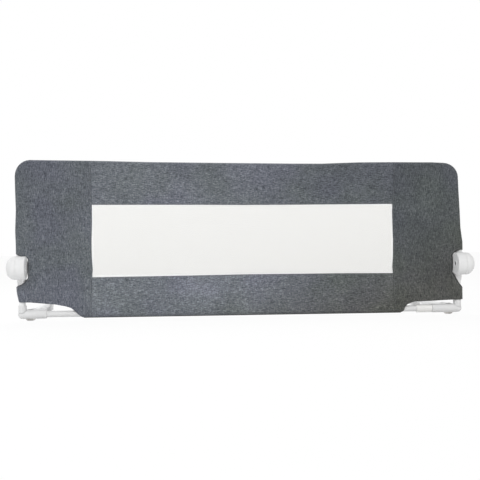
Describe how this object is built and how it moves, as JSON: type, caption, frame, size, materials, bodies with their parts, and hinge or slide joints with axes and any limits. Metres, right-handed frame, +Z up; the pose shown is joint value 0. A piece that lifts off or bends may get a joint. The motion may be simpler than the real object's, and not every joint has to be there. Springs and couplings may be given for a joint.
{
  "type": "folding bed guard rail",
  "caption": "Folding bed guard rail: fabric panel with a net window on a tube frame that swings down on drum hinges, with arms for under the mattress.",
  "frame": {"origin": "on the floor, under the middle of the whole object's box", "axes": "+X along the rail, to the right as seen from outside the bed; +Y towards the bed; +Z up"},
  "size_m": [1.5, 0.481, 0.51],
  "materials": {
    "powder_coat": "white powder coat, satin",
    "white_plastic": "white moulded plastic, fine grain",
    "gear_plastic": "natural acetal, satin",
    "zinc_steel": "zinc plated",
    "spring_steel": "bright drawn wire and strip",
    "grey_fabric": "grey melange linen-look weave",
    "white_net": "fine off-white netting",
    "foot_rubber": "warm pale rubber, matte",
    "grip_rubber": "white soft rubber, matte"
  },
  "bodies": {
    "base": {"lower_post_left": "powder_coat", "lower_post_right": "powder_coat", "hinge_inner_housing_left": "white_plastic", "hinge_inner_housing_right": "white_plastic", "hinge_axle_left": "zinc_steel", "hinge_axle_right": "zinc_steel", "axle_nut_left": "zinc_steel", "axle_nut_right": "zinc_steel", "corner_bracket_left": "white_plastic", "corner_bracket_right": "white_plastic", "cross_end_tube_left": "powder_coat", "cross_end_tube_right": "powder_coat", "pivot_bolt_left": "zinc_steel", "pivot_bolt_right": "zinc_steel", "pivot_foot_left": "foot_rubber", "pivot_foot_right": "foot_rubber", "lock_spring_left": "spring_steel", "lock_spring_right": "spring_steel", "cross_snap_spring_left": "spring_steel", "cross_snap_spring_right": "spring_steel", "cross_tube": "powder_coat", "tube_collar_right": "white_plastic", "cover_lower": "grey_fabric", "window_net_lower": "white_net"},
    "rail": {"corner_tube_left": "powder_coat", "corner_tube_right": "powder_coat", "hinge_outer_housing_left": "white_plastic", "hinge_outer_housing_right": "white_plastic", "top_snap_spring_left": "spring_steel", "top_snap_spring_right": "spring_steel", "top_tube": "powder_coat", "cover_upper": "grey_fabric", "window_net_upper": "white_net"},
    "arm_left": {"arm_knuckle_left": "white_plastic", "arm_tube_left": "powder_coat", "arm_foot_left": "grip_rubber"},
    "button_left": {"release_button_left": "white_plastic"},
    "gear_left": {"lock_gear_left": "gear_plastic"},
    "top_snap_left": {"top_snap_button_left": "zinc_steel"},
    "cross_snap_left": {"cross_snap_button_left": "zinc_steel"},
    "arm_right": {"arm_knuckle_right": "white_plastic", "arm_tube_right": "powder_coat", "arm_foot_right": "grip_rubber"},
    "button_right": {"release_button_right": "white_plastic"},
    "gear_right": {"lock_gear_right": "gear_plastic"},
    "top_snap_right": {"top_snap_button_right": "zinc_steel"},
    "cross_snap_right": {"cross_snap_button_right": "zinc_steel"}
  },
  "joints": [
    {"name": "rail_swing", "type": "hinge", "parent": "base", "child": "rail", "pos_m": [0, -0.2035, 0.171], "axis": [1, 0, 0], "range_deg": [0, 180]},
    {"name": "arm_fold_left", "type": "hinge", "parent": "base", "child": "arm_left", "pos_m": [-0.693, -0.1395, 0.022], "axis": [0, 0, -1], "range_deg": [0, 90]},
    {"name": "release_button_left", "type": "slide", "parent": "rail", "child": "button_left", "axis": [1, 0, 0], "range_m": [0, 0.0055], "stiffness_N_per_m": 350, "springref_m": -0.004},
    {"name": "lock_gear_left", "type": "slide", "parent": "base", "child": "gear_left", "axis": [1, 0, 0], "range_m": [0, 0.0055], "deforming": ["lock_spring_left"]},
    {"name": "top_snap_left", "type": "slide", "parent": "rail", "child": "top_snap_left", "axis": [0, 0, 1], "range_m": [0, 0.0035], "stiffness_N_per_m": 1500, "springref_m": -0.002, "deforming": ["top_snap_spring_left"]},
    {"name": "cross_snap_left", "type": "slide", "parent": "base", "child": "cross_snap_left", "axis": [0, 0, -1], "range_m": [0, 0.0035], "stiffness_N_per_m": 1500, "springref_m": -0.002, "deforming": ["cross_snap_spring_left"]},
    {"name": "arm_fold_right", "type": "hinge", "parent": "base", "child": "arm_right", "pos_m": [0.693, -0.1395, 0.022], "axis": [0, 0, 1], "range_deg": [0, 90]},
    {"name": "release_button_right", "type": "slide", "parent": "rail", "child": "button_right", "axis": [-1, 0, 0], "range_m": [0, 0.0055], "stiffness_N_per_m": 350, "springref_m": -0.004},
    {"name": "lock_gear_right", "type": "slide", "parent": "base", "child": "gear_right", "axis": [-1, 0, 0], "range_m": [0, 0.0055], "deforming": ["lock_spring_right"]},
    {"name": "top_snap_right", "type": "slide", "parent": "rail", "child": "top_snap_right", "axis": [0, 0, 1], "range_m": [0, 0.0035], "stiffness_N_per_m": 1500, "springref_m": -0.002, "deforming": ["top_snap_spring_right"]},
    {"name": "cross_snap_right", "type": "slide", "parent": "base", "child": "cross_snap_right", "axis": [0, 0, -1], "range_m": [0, 0.0035], "stiffness_N_per_m": 1500, "springref_m": -0.002, "deforming": ["cross_snap_spring_right"]}
  ],
  "couplings": [
    {"joint": "lock_gear_left", "follows": "release_button_left", "ratio": 1},
    {"joint": "lock_gear_right", "follows": "release_button_right", "ratio": 1}
  ]
}
